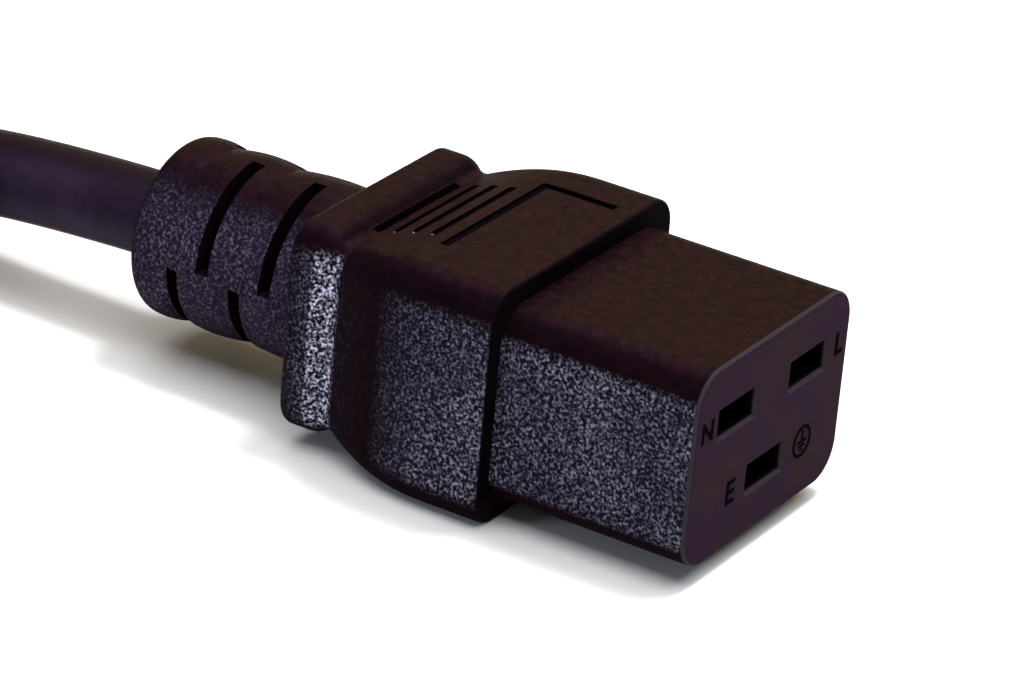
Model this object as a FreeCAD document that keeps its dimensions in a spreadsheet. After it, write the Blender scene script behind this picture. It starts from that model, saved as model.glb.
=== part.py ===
"""C19 power connector on its moulded cord, with the C20 plug at the cord's far end.

Frame: millimetres, +Z up.  The origin is the centre of the connector's mating face and +X points
out of that face, so the connector and its cord run back along -X.  The cord leaves the boot along
-X, comes down to the surface that the connector lies on, and is wound into a tied coil; the plug
lies beside the coil on the same surface.
"""
import FreeCAD, Part
import math
import os

V = FreeCAD.Vector
Rotation = FreeCAD.Rotation
Placement = FreeCAD.Placement

# ---------------------------------------------------------------------------------------------
# Driving dimensions, in millimetres.  Each one is a cell of the spreadsheet "Sizes".
# ---------------------------------------------------------------------------------------------
SIZES = {
    # Mating nose
    "nose_width": 28.0,
    "nose_height": 19.7,
    "nose_corner": 3.6,
    "nose_length": 20.8,
    "insert_length": 29.5,
    "face_edge": 0.35,
    "pole_spacing": 13.0,
    "pole_height": 3.9,
    "earth_drop": 8.0,
    "slot_width": 6.6,
    "slot_height": 2.8,
    "slot_lead_in": 0.3,
    "front_wall": 2.4,
    "chamber_width": 7.4,
    "chamber_height": 4.6,
    "lock_groove_depth": 1.2,
    "lock_groove_width": 2.4,
    "lock_groove_place": 25.0,
    # Cap behind the contact chambers
    "cap_width": 24.0,
    "cap_height": 16.0,
    "cap_corner": 2.0,
    "cap_thickness": 2.0,
    "cap_plug": 1.5,
    "cap_plug_gap": 0.1,
    # Overmoulded body
    "body_width": 32.0,
    "body_height": 23.7,
    "body_corner": 3.3,
    "collar_edge": 0.4,
    "plan_radius": 27.5,
    "plan_start": 27.0,
    "crown_radius": 26.0,
    "crown_start": 28.6,
    "barrel_end": 42.0,
    # Finger flange behind the barrel
    "flange_width": 27.4,
    "flange_height": 21.2,
    "flange_lift": 0.4,
    "flange_corner": 3.4,
    "flange_front": 39.2,
    "flange_back": 44.45,
    "flange_front_edge": 2.6,
    "flange_back_edge": 0.8,
    "flange_blend": 1.4,
    # Slotted strain-relief boot
    "boot_radius": 8.6,
    "boot_crown": 0.4,
    "boot_end": 65.8,
    "boot_end_edge": 1.5,
    "slot_cut_width": 1.4,
    "slot_cut_root": 5.6,
    "slot_cut_pitch": 7.1,
    "slot_cut_first": 49.85,
    "near_cut_stagger": 3.55,
    "far_cut_stagger": 4.4,
    "long_cut_sweep": 87.0,
    "long_cut_middle": 44.5,
    "short_cut_sweep": 66.0,
    "short_cut_middle": 125.0,
    # Grip lines on the top face
    "line_depth": 0.45,
    "line_width": 0.8,
    "line_half_length": 7.0,
    "line_first": 33.1,
    "line_pitch": 2.03,
    "frame_line_back": 30.7,
    "frame_line_front": 23.1,
    "frame_line_half": 8.8,
    "frame_line_width": 1.0,
    # Contacts, folded from strip
    "strip_thickness": 0.5,
    "contact_width": 5.6,
    "contact_tip": 3.2,
    "contact_pinch": 6.2,
    "contact_channel": 14.0,
    "contact_back": 20.0,
    "tip_gap": 3.0,
    "pinch_gap": 1.8,
    "channel_gap": 3.0,
    "crimp_front": 20.8,
    "crimp_back": 24.3,
    "wing_front": 25.3,
    "wing_back": 27.5,
    # Wires
    "conductor_radius": 0.8,
    "core_radius": 1.5,
    "jacket_radius": 4.25,
    "jacket_start": 48.0,
    "conductor_start": 20.9,
    "core_start": 25.35,
    "core_bend_front": 37.0,
    "core_bend_back": 47.0,
    # Plug: its shroud takes a nose like the connector's, its inner pieces sit further back
    "plug_shift": 4.0,
    "shroud_depth": 21.0,
    "shroud_gap": 0.3,
    "carrier_width": 27.0,
    "carrier_height": 18.6,
    "carrier_corner": 3.0,
    "blade_width": 6.0,
    "blade_thickness": 2.0,
    "blade_tip": 4.2,
    "blade_back": 20.0,
    "blade_chamfer": 0.6,
    "blade_wall": 3.0,
    # Coil of cord, its tie, and the surface that everything lies on
    "coil_across": -132.5,
    "coil_along": -45.0,
    "coil_outside": 58.0,
    "coil_inside": 29.0,
    "coil_height": 17.05,
    "tie_thickness": 0.8,
    "tie_width": 10.0,
    "tie_gap": 0.6,
    "tie_angle": 250.0,
}

doc = FreeCAD.newDocument("c19_power_connector")
sheet = doc.addObject("Spreadsheet::Sheet", "Sizes")
for row, (alias, number) in enumerate(SIZES.items(), start=1):
    sheet.set("A%d" % row, alias)
    sheet.set("B%d" % row, repr(number))
    sheet.setAlias("B%d" % row, alias)
doc.recompute()


class Size:
    """Reads a driving dimension back from the spreadsheet as a plain number."""

    def __getattr__(self, alias):
        return float(getattr(sheet, alias))


size = Size()
PARTS = []


# ---------------------------------------------------------------------------------------------
# Small helpers
# ---------------------------------------------------------------------------------------------
def cells(expression):
    """Writes an expression over aliases with the sheet's name before each alias."""
    words = []
    for word in expression.split():
        words.append("Sizes." + word if word in SIZES else word)
    return " ".join(words)


def number(expression):
    """The value of an expression over aliases."""
    return float(sheet.evalExpression(cells(expression)))


def new_body(name):
    body = doc.addObject("PartDesign::Body", name)
    body.Label = name
    return body


def keep(thing, name, placement=None):
    """Names a finished sub-part; its label names its STEP file."""
    thing.Label = name
    if placement is not None:
        thing.Placement = placement
    PARTS.append(thing)
    return thing


def sketch_on(body, role, name, across="0", up="0", out="0", turn=None):
    """A sketch on one of the body's origin planes, moved by expressions in the plane's own axes."""
    sketch = body.newObject("Sketcher::SketchObject", name)
    plane = [feature for feature in body.Origin.OriginFeatures if feature.Role == role][0]
    sketch.AttachmentSupport = [(plane, "")]
    sketch.MapMode = "FlatFace"
    if turn is not None:
        sketch.AttachmentOffset = Placement(V(0, 0, 0), turn)
    for axis, expression in (("x", across), ("y", up), ("z", out)):
        if expression != "0":
            sketch.setExpression("AttachmentOffset.Base." + axis, cells(expression))
    return sketch


def bind(sketch, constraint, expression):
    """Adds a dimension to a sketch and binds it to an expression over the sheet's cells."""
    index = sketch.addConstraint(constraint)
    sketch.setExpression("Constraints[%d]" % index, cells(expression))


def arc_end(sketch, arc, point):
    """Which end of an arc lies at a point: 1 for its start, 2 for its end."""
    curve = sketch.Geometry[arc]
    starts_there = (curve.StartPoint - point).Length < (curve.EndPoint - point).Length
    return 1 if starts_there else 2


def draw_polygon(sketch, corners, closed=True):
    """Straight edges through corners given as pairs of expressions from the sketch's origin."""
    from Sketcher import Constraint
    points = [V(number(across), number(up), 0) for across, up in corners]
    first = sketch.GeometryCount
    count = len(points)
    for i in range(count):
        sketch.addGeometry(Part.LineSegment(points[i], points[(i + 1) % count]), False)
    for i in range(count):
        sketch.addConstraint(Constraint("Coincident", first + i, 2, first + (i + 1) % count, 1))
    for i, (across, up) in enumerate(corners):
        for kind, expression in (("DistanceX", across), ("DistanceY", up)):
            distance = number(expression)
            bind(sketch, Constraint(kind, -1, 1, first + i, 1, distance), expression)


def draw_rectangle(sketch, width, height):
    """A rectangle centred on the sketch's origin."""
    half_width = "( %s ) / 2" % width
    half_height = "( %s ) / 2" % height
    draw_polygon(sketch, [("-" + half_width, "-" + half_height), (half_width, "-" + half_height),
                          (half_width, half_height), ("-" + half_width, half_height)])


def draw_rounded_rectangle(sketch, width, height, radius):
    """A rectangle with four equal rounded corners, centred on the sketch's origin."""
    from Sketcher import Constraint
    w, h, r = number(width) / 2, number(height) / 2, number(radius)
    straight = [((-w + r, h), (w - r, h)), ((w, h - r), (w, -h + r)),
                ((w - r, -h), (-w + r, -h)), ((-w, -h + r), (-w, h - r))]
    centres = [(w - r, h - r), (w - r, -h + r), (-w + r, -h + r), (-w + r, h - r)]
    starts = [0.0, -90.0, 180.0, 90.0]
    first = sketch.GeometryCount
    for start, end in straight:
        sketch.addGeometry(Part.LineSegment(V(*start, 0), V(*end, 0)), False)
    for (across, up), start in zip(centres, starts):
        circle = Part.Circle(V(across, up, 0), V(0, 0, 1), r)
        arc = Part.ArcOfCircle(circle, math.radians(start), math.radians(start + 90))
        sketch.addGeometry(arc, False)
    for i in range(4):
        line, arc, following = first + i, first + 4 + i, first + (i + 1) % 4
        sketch.addConstraint(Constraint("Tangent", line, 2, arc, 2))
        sketch.addConstraint(Constraint("Tangent", arc, 1, following, 1))
    for i in (0, 2):
        sketch.addConstraint(Constraint("Horizontal", first + i))
        sketch.addConstraint(Constraint("Vertical", first + i + 1))
    for i in (5, 6, 7):
        sketch.addConstraint(Constraint("Equal", first + 4, first + i))
    sketch.addConstraint(Constraint("Symmetric", first, 1, first + 2, 1, -1, 1))
    bind(sketch, Constraint("DistanceX", first + 3, 1, first + 1, 1, 2 * w), width)
    bind(sketch, Constraint("DistanceY", first + 2, 1, first, 1, 2 * h), height)
    bind(sketch, Constraint("Radius", first + 4, r), radius)


def draw_circle(sketch, radius):
    from Sketcher import Constraint
    index = sketch.addGeometry(Part.Circle(V(0, 0, 0), V(0, 0, 1), number(radius)), False)
    sketch.addConstraint(Constraint("Coincident", index, 3, -1, 1))
    bind(sketch, Constraint("Radius", index, number(radius)), radius)


def extrude(body, kind, sketch, length, name, reverse=True, middle=False):
    """A Pad or Pocket of a sketch; reverse makes it run against the sketch's normal."""
    feature = body.newObject("PartDesign::" + kind, name)
    feature.Profile = sketch
    if length is None:
        feature.Type = "ThroughAll"
    else:
        feature.setExpression("Length", cells(length))
    feature.Reversed = reverse
    feature.Midplane = middle
    sketch.Visibility = False
    doc.recompute()
    return feature


def edges_where(shape, test):
    """The names of the edges whose middle point and direction pass a test."""
    names = []
    for index, edge in enumerate(shape.Edges, start=1):
        middle = (edge.FirstParameter + edge.LastParameter) / 2
        if test(edge.valueAt(middle), edge.tangentAt(middle), edge):
            names.append("Edge%d" % index)
    return names


def dress(body, kind, base, test, amount, name):
    """A Fillet or Chamfer on the edges that pass a test."""
    feature = body.newObject("PartDesign::" + kind, name)
    feature.Base = (base, edges_where(base.Shape, test))
    feature.setExpression("Radius" if kind == "Fillet" else "Size", cells(amount))
    doc.recompute()
    return feature


# ---------------------------------------------------------------------------------------------
# Routes: straight runs joined by tangent arcs
# ---------------------------------------------------------------------------------------------
def route_wire(points, label=None):
    """The wire along a route, each corner an arc as large as its two runs allow."""
    share = 0.45
    edges = []
    radii = []
    at = points[0]
    for before, corner, after in zip(points, points[1:], points[2:]):
        run_in, run_out = corner - before, after - corner
        cut = share * min(run_in.Length, run_out.Length)
        turn = run_in.getAngle(run_out)
        radii.append(cut / math.tan(turn / 2))
        direction_in, direction_out = V(run_in).normalize(), V(run_out).normalize()
        start, end = corner - direction_in * cut, corner + direction_out * cut
        inward = (direction_out - direction_in).normalize()
        reach = radii[-1] / math.cos(turn / 2) - radii[-1]
        edges.append(Part.LineSegment(at, start).toShape())
        edges.append(Part.Arc(start, corner + inward * reach, end).toShape())
        at = end
    edges.append(Part.LineSegment(at, points[-1]).toShape())
    if label:
        print(label, "radii", ["%.0f" % radius for radius in radii])
    return Part.Wire(edges)


def tube(points, radius, label=None):
    """A round solid along a route."""
    path = route_wire(points, label)
    section = Part.Wire(Part.Circle(points[0], points[1] - points[0], radius).toShape())
    solid = path.makePipeShell([section], True, False)
    expected = math.pi * radius ** 2 * path.Length
    if abs(solid.Volume / expected - 1) > 0.01:
        raise RuntimeError("a tube's volume is not its section times its length")
    return solid


def shape_feature(name, shape, placement=None):
    """A sub-part whose shape is made in code."""
    feature = doc.addObject("Part::Feature", name)
    feature.Shape = shape
    return keep(feature, name, placement)


# Places of the three poles on the mating face, each with its place in the round cord.
CORE_CIRCLE = (size.core_radius + 0.05) * 2 / math.sqrt(3)
EARTH_HEIGHT = size.pole_height - size.earth_drop
POLES = {
    "line": (-size.pole_spacing / 2, size.pole_height, 150.0),
    "neutral": (size.pole_spacing / 2, size.pole_height, 30.0),
    "earth": (0.0, EARTH_HEIGHT, 270.0),
}
POLE_CELLS = {
    "line": ("- pole_spacing / 2", "pole_height"),
    "neutral": ("pole_spacing / 2", "pole_height"),
    "earth": ("0", "pole_height - earth_drop"),
}


# ---------------------------------------------------------------------------------------------
# Nose insert: the rigid front moulding with a chamber for each contact
# ---------------------------------------------------------------------------------------------
def make_nose_insert():
    body = new_body("nose_insert")
    outline = sketch_on(body, "YZ_Plane", "nose_outline")
    draw_rounded_rectangle(outline, "nose_width", "nose_height", "nose_corner")
    block = extrude(body, "Pad", outline, "insert_length", "nose_block")
    edge = dress(body, "Fillet", block, lambda at, along, e: abs(at.x) < 1e-6, "face_edge",
                 "face_rounding")
    # The overmould grips the insert in a groove cut round its hidden rear part.
    ring = sketch_on(body, "YZ_Plane", "lock_groove_outline", out="- lock_groove_place")
    draw_rounded_rectangle(ring, "nose_width + 2", "nose_height + 2", "nose_corner")
    draw_rounded_rectangle(ring, "nose_width - 2 * lock_groove_depth",
                           "nose_height - 2 * lock_groove_depth", "nose_corner - 1")
    extrude(body, "Pocket", ring, "lock_groove_width", "lock_groove", reverse=False)
    for pole, (across, up) in POLE_CELLS.items():
        slot = sketch_on(body, "YZ_Plane", "slot_%s_outline" % pole, across=across, up=up)
        draw_rectangle(slot, "slot_width", "slot_height")
        extrude(body, "Pocket", slot, "front_wall + 1", "slot_%s" % pole, reverse=False)
        chamber = sketch_on(body, "YZ_Plane", "chamber_%s_outline" % pole, across=across, up=up,
                            out="- front_wall")
        draw_rectangle(chamber, "chamber_width", "chamber_height")
        extrude(body, "Pocket", chamber, "insert_length", "chamber_%s" % pole, reverse=False)
    inside = [(y, z) for y, z, turn in POLES.values()]

    def rims_a_slot(at, along, edge_shape):
        near = [abs(at.y - y) < size.slot_width / 2 + 0.01 and
                abs(at.z - z) < size.slot_height / 2 + 0.01 for y, z in inside]
        return abs(at.x) < 1e-6 and any(near)

    dress(body, "Chamfer", body.Tip, rims_a_slot, "slot_lead_in", "slot_lead_ins")
    keep(body, "nose_insert")


# ---------------------------------------------------------------------------------------------
# Rear cap: closes the chambers before the overmould is shot, one on each end of the cord
# ---------------------------------------------------------------------------------------------
def make_rear_cap(name, placement):
    body = new_body(name)
    outline = sketch_on(body, "YZ_Plane", name + "_outline", out="- insert_length")
    draw_rounded_rectangle(outline, "cap_width", "cap_height", "cap_corner")
    extrude(body, "Pad", outline, "cap_thickness", name + "_plate")
    for pole, (across, up) in POLE_CELLS.items():
        stopper = sketch_on(body, "YZ_Plane", "%s_%s_stopper_outline" % (name, pole),
                            across=across, up=up, out="- insert_length")
        draw_rectangle(stopper, "chamber_width - 2 * cap_plug_gap",
                       "chamber_height - 2 * cap_plug_gap")
        extrude(body, "Pad", stopper, "cap_plug", "%s_%s_stopper" % (name, pole), reverse=False)
    for pole, (across, up) in POLE_CELLS.items():
        hole = sketch_on(body, "YZ_Plane", "%s_%s_hole_outline" % (name, pole),
                         across=across, up=up, out="- insert_length + cap_plug + 1")
        draw_circle(hole, "core_radius")
        extrude(body, "Pocket", hole, "cap_plug + cap_thickness + 2",
                "%s_%s_hole" % (name, pole), reverse=False)
    keep(body, name, placement)


# ---------------------------------------------------------------------------------------------
# Contacts: strip folded into two pinching leaves, a channel and two crimps
# ---------------------------------------------------------------------------------------------
def leaf_corners(side):
    """Side view of one leaf: flared tip, pinch, then out to the channel's wall."""
    half = side + "( %s ) / 2"
    inner = [("- contact_tip", half % "tip_gap"), ("- contact_pinch", half % "pinch_gap"),
             ("- contact_channel", half % "channel_gap"), ("- contact_back", half % "channel_gap")]
    outer = [(along, half % (gap_of + " + 2 * strip_thickness")) for along, gap_of in
             (("- contact_back", "channel_gap"), ("- contact_channel", "channel_gap"),
              ("- contact_pinch", "pinch_gap"), ("- contact_tip", "tip_gap"))]
    return inner + outer


def add_crimps(body, name, root):
    """The two crimped barrels, on the wire and on its insulation, and the strip between them."""
    strip = sketch_on(body, "XZ_Plane", name + "_strip_outline")
    draw_polygon(strip, root + [
        ("- crimp_front + 0.4", "- conductor_radius - 0.1"),
        ("- crimp_back", "- conductor_radius - 0.1"),
        ("- wing_front", "- core_radius - 0.05"),
        ("- wing_back", "- core_radius - 0.05"),
        ("- wing_back", "- core_radius - strip_thickness"),
        ("- wing_front", "- core_radius - strip_thickness"),
        ("- crimp_back", "- conductor_radius - strip_thickness"),
        ("- crimp_front", "- conductor_radius - strip_thickness"),
    ])
    extrude(body, "Pad", strip, "2", name + "_strip", middle=True)
    for crimp, front, back, bore in (("wire_crimp", "crimp_front", "crimp_back", "conductor_radius"),
                                     ("wing_crimp", "wing_front", "wing_back", "core_radius")):
        ring = sketch_on(body, "YZ_Plane", "%s_%s_outline" % (name, crimp), out="- " + front)
        draw_circle(ring, bore + " + strip_thickness")
        extrude(body, "Pad", ring, "%s - %s" % (back, front), "%s_%s" % (name, crimp))
        hole = sketch_on(body, "YZ_Plane", "%s_%s_bore_outline" % (name, crimp),
                         out="- %s + 0.2" % front)
        draw_circle(hole, bore)
        extrude(body, "Pocket", hole, "%s - %s + 0.4" % (back, front),
                "%s_%s_bore" % (name, crimp), reverse=False)


def make_contact(pole):
    name = "contact_" + pole
    body = new_body(name)
    for leaf, side in (("upper", ""), ("lower", "-")):
        profile = sketch_on(body, "XZ_Plane", "%s_%s_leaf_outline" % (name, leaf))
        draw_polygon(profile, leaf_corners(side))
        extrude(body, "Pad", profile, "contact_width", "%s_%s_leaf" % (name, leaf), middle=True)
        if leaf == "upper":
            # The channel's side wall joins the leaves, so the three are one folded strip.
            wall = sketch_on(body, "XZ_Plane", name + "_wall_outline",
                             out="contact_width / 2 - strip_thickness")
            draw_polygon(wall, [
                ("- contact_channel", "- channel_gap / 2 - strip_thickness"),
                ("- contact_back", "- channel_gap / 2 - strip_thickness"),
                ("- contact_back", "channel_gap / 2 + strip_thickness"),
                ("- contact_channel", "channel_gap / 2 + strip_thickness")])
            extrude(body, "Pad", wall, "strip_thickness", name + "_wall", reverse=False)
    add_crimps(body, name, [
        ("- contact_back + 0.5", "- channel_gap / 2 - strip_thickness"),
        ("- contact_back + 0.5", "- channel_gap / 2")])
    across, up, turn = POLES[pole]
    keep(body, name, Placement(V(0, across, up), Rotation()))


# ---------------------------------------------------------------------------------------------
# Wires: three cores fan out of the jacket's end, one to each pole
# ---------------------------------------------------------------------------------------------
def core_route(pole, start, shift):
    """From a pole, straight back, across to its place in the round cord, and to the boot's end."""
    across, up, turn = POLES[pole]
    angle = math.radians(turn)
    beside, height = CORE_CIRCLE * math.cos(angle), CORE_CIRCLE * math.sin(angle)
    return [V(-start - shift, across, up), V(-size.core_bend_front - shift, across, up),
            V(-size.core_bend_back - shift, beside, height),
            V(-size.boot_end, beside, height)]


def make_wires(prefix, shift, placement):
    """Conductors, their insulation, and the end of the jacket inside the boot."""
    insulated = []
    for pole in POLES:
        conductor = tube(core_route(pole, size.conductor_start, shift), size.conductor_radius)
        insulation = tube(core_route(pole, size.core_start, shift), size.core_radius)
        insulated.append(insulation)
        shape_feature("%sconductor_%s" % (prefix, pole), conductor, placement)
        shape_feature("%score_%s" % (prefix, pole), insulation.cut(conductor), placement)
    length = size.boot_end - size.jacket_start - shift
    jacket = Part.makeCylinder(size.jacket_radius, length, V(-size.boot_end, 0, 0), V(1, 0, 0))
    shape_feature(prefix + "jacket_end", jacket.cut(insulated), placement)
    return insulated + [jacket]


# ---------------------------------------------------------------------------------------------
# Overmould: collar or shroud, barrel, finger flange and slotted boot, shot as one piece
# ---------------------------------------------------------------------------------------------
def barrel_blank(name, front):
    """The straight block and the barrel behind it, narrowed in plan and in height by four rounds."""
    block = doc.addObject("Part::Box", name + "_block")
    block.setExpression("Length", cells("barrel_end - %s" % front))
    block.setExpression("Width", cells("body_width"))
    block.setExpression("Height", cells("body_height"))
    block.setExpression("Placement.Base.x", cells("- barrel_end"))
    block.setExpression("Placement.Base.y", cells("- body_width / 2"))
    block.setExpression("Placement.Base.z", cells("- body_height / 2"))
    blank = block
    rounds = (("near_wall", "plan_radius", "plan_start", "y", "", "width"),
              ("far_wall", "plan_radius", "plan_start", "y", "-", "width"),
              ("lower_crown", "crown_radius", "crown_start", "z", "", "height"),
              ("upper_crown", "crown_radius", "crown_start", "z", "-", "height"))
    for label, radius, start, axis, sign, across in rounds:
        # Each round leaves the block's straight part whole and curves its rear part.
        cylinder = doc.addObject("Part::Cylinder", "%s_%s" % (name, label))
        cylinder.setExpression("Radius", cells(radius))
        cylinder.Height = 100
        middle = cells(sign + "( %s - body_%s / 2 )" % (radius, across))
        cylinder.setExpression("Placement.Base.x", cells("- " + start))
        cylinder.setExpression("Placement.Base." + axis, middle)
        if axis == "y":
            cylinder.Placement.Base.z = -50
        else:
            cylinder.Placement = Placement(V(0, -50, 0), Rotation(V(1, 0, 0), -90))
        ahead = doc.addObject("Part::Box", "%s_%s_ahead" % (name, label))
        ahead.setExpression("Length", cells(start))
        ahead.Width, ahead.Height = 100, 100
        ahead.Placement = Placement(V(0, -50, -50), Rotation())
        ahead.setExpression("Placement.Base.x", cells("- " + start))
        keeps = doc.addObject("Part::Fuse", "%s_%s_keeps" % (name, label))
        keeps.Base, keeps.Tool = cylinder, ahead
        narrowed = doc.addObject("Part::Common", "%s_%s_cut" % (name, label))
        narrowed.Base, narrowed.Tool = blank, keeps
        narrowed.Refine = True
        doc.recompute()
        blank = narrowed
    return blank


def make_flange(name):
    """The plate behind the barrel that fingers pull on, standing proud on all four sides."""
    body = new_body(name + "_flange_form")
    outline = sketch_on(body, "YZ_Plane", name + "_flange_outline", up="flange_lift",
                        out="- flange_front")
    draw_rounded_rectangle(outline, "flange_width", "flange_height", "flange_corner")
    plate = extrude(body, "Pad", outline, "flange_back - flange_front", name + "_flange")
    front = dress(body, "Fillet", plate,
                  lambda at, along, edge: abs(at.x + size.flange_front) < 1e-5,
                  "flange_front_edge", name + "_flange_front_rounding")
    dress(body, "Fillet", front, lambda at, along, edge: abs(at.x + size.flange_back) < 1e-5,
          "flange_back_edge", name + "_flange_back_rounding")
    return body


def add_boot(body, name):
    """The round boot of three crowned segments, slotted on alternate quarters so that it bends."""
    from Sketcher import Constraint
    profile = sketch_on(body, "XZ_Plane", name + "_boot_profile")
    valleys = ["flange_back", "slot_cut_first + far_cut_stagger",
               "slot_cut_first + far_cut_stagger + slot_cut_pitch", "boot_end"]
    rims = [V(-number(place), size.boot_radius, 0) for place in valleys]
    axis_start, axis_end = V(rims[0].x, 0, 0), V(rims[-1].x, 0, 0)
    for first, second in ((rims[-1], axis_end), (axis_end, axis_start), (axis_start, rims[0])):
        profile.addGeometry(Part.LineSegment(first, second), False)
    for before, after in zip(rims, rims[1:]):
        crest = (before + after) / 2 + V(0, size.boot_crown, 0)
        profile.addGeometry(Part.Arc(before, crest, after), False)
    # Lines 0 to 2 are the end, the axis and the front; arcs 3 to 5 run back from the flange.
    for one, its_end, other, other_end in ((0, 2, 1, 1), (1, 2, 2, 1)):
        profile.addConstraint(Constraint("Coincident", one, its_end, other, other_end))
    profile.addConstraint(Constraint("Coincident", 5, arc_end(profile, 5, rims[3]), 0, 1))
    profile.addConstraint(Constraint("Coincident", 2, 2, 3, arc_end(profile, 3, rims[0])))
    for arc in (3, 4):
        joint = rims[arc - 2]
        profile.addConstraint(Constraint("Coincident", arc, arc_end(profile, arc, joint),
                                         arc + 1, arc_end(profile, arc + 1, joint)))
    profile.addConstraint(Constraint("PointOnObject", 1, 1, -1))
    profile.addConstraint(Constraint("Horizontal", 1))
    profile.addConstraint(Constraint("Vertical", 0))
    profile.addConstraint(Constraint("Vertical", 2))
    for arc, place in zip((3, 4, 5, 5), valleys):
        rim = rims[valleys.index(place)]
        at = arc_end(profile, arc, rim)
        bind(profile, Constraint("DistanceX", arc, at, -1, 1, -rim.x), place)
        if place != "flange_back":
            bind(profile, Constraint("DistanceY", -1, 1, arc, at, rim.y), "boot_radius")
    at = arc_end(profile, 3, rims[0])
    bind(profile, Constraint("DistanceY", -1, 1, 3, at, rims[0].y), "boot_radius")
    for arc, front, back in zip((3, 4, 5), valleys, valleys[1:]):
        half = "( ( %s ) - ( %s ) ) / 2" % (back, front)
        bend = "( ( %s ) ^ 2 + boot_crown ^ 2 ) / ( 2 * boot_crown )" % half
        bind(profile, Constraint("Radius", arc, number(bend)), bend)
    boot = body.newObject("PartDesign::Revolution", name + "_boot")
    boot.Profile = profile
    boot.ReferenceAxis = (profile, ["H_Axis"])
    boot.Angle = 360
    doc.recompute()
    dress(body, "Fillet", boot, lambda at, along, edge: abs(at.x + size.boot_end) < 1e-5,
          "boot_end_edge", name + "_boot_end_rounding")
    # Upper near side, lower near side, lower far side and upper far side in turn.
    staggers = ("0", "near_cut_stagger", "0", "far_cut_stagger")
    for quarter, stagger in enumerate(staggers):
        span = "short" if quarter % 2 else "long"
        middle_turn = getattr(size, span + "_cut_middle") + 180 * (quarter // 2)
        cut = sketch_on(body, "XZ_Plane", "%s_cut_%d_outline" % (name, quarter),
                        turn=Rotation(V(1, 0, 0), middle_turn))
        for repeat in range(2):
            middle = "- slot_cut_first - %s - %d * slot_cut_pitch" % (stagger, repeat)
            draw_polygon(cut, [
                (middle + " - slot_cut_width / 2", "slot_cut_root"),
                (middle + " + slot_cut_width / 2", "slot_cut_root"),
                (middle + " + slot_cut_width / 2", "boot_radius + 1"),
                (middle + " - slot_cut_width / 2", "boot_radius + 1")])
        groove = body.newObject("PartDesign::Groove", "%s_cut_%d" % (name, quarter))
        groove.Profile = cut
        groove.ReferenceAxis = (cut, ["H_Axis"])
        groove.Midplane = True
        groove.setExpression("Angle", cells(span + "_cut_sweep"))
        doc.recompute()


def add_grip_lines(body, name):
    """Four short lines across the barrel's crown and an angled line framing the flat top."""
    lines = []
    for index in range(4):
        place = "line_first + %d * line_pitch" % index
        offset = number(place) - size.crown_start
        fall = size.crown_radius - math.sqrt(size.crown_radius ** 2 - offset ** 2)
        floor = size.body_height / 2 - fall - size.line_depth
        lines.append((index, place, floor))
    for index, place, floor in lines:
        cut = sketch_on(body, "XY_Plane", "%s_line_%d_outline" % (name, index),
                        across="- ( %s )" % place)
        cut.AttachmentOffset = Placement(V(-number(place), 0, floor), Rotation())
        draw_rounded_rectangle(cut, "line_width", "2 * line_half_length", "line_width / 2 - 0.02")
        extrude(body, "Pocket", cut, "4", "%s_line_%d" % (name, index), reverse=True)
    angle = sketch_on(body, "XY_Plane", name + "_angle_line_outline",
                      out="body_height / 2 - line_depth")
    draw_polygon(angle, [
        ("- frame_line_back - frame_line_width / 2", "- frame_line_half"),
        ("- frame_line_back + frame_line_width / 2", "- frame_line_half"),
        ("- frame_line_back + frame_line_width / 2", "frame_line_half - frame_line_width / 2"),
        ("- frame_line_front", "frame_line_half - frame_line_width / 2"),
        ("- frame_line_front", "frame_line_half + frame_line_width / 2"),
        ("- frame_line_back - frame_line_width / 2", "frame_line_half + frame_line_width / 2")])
    extrude(body, "Pocket", angle, "4", name + "_angle_line", reverse=True)


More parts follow.
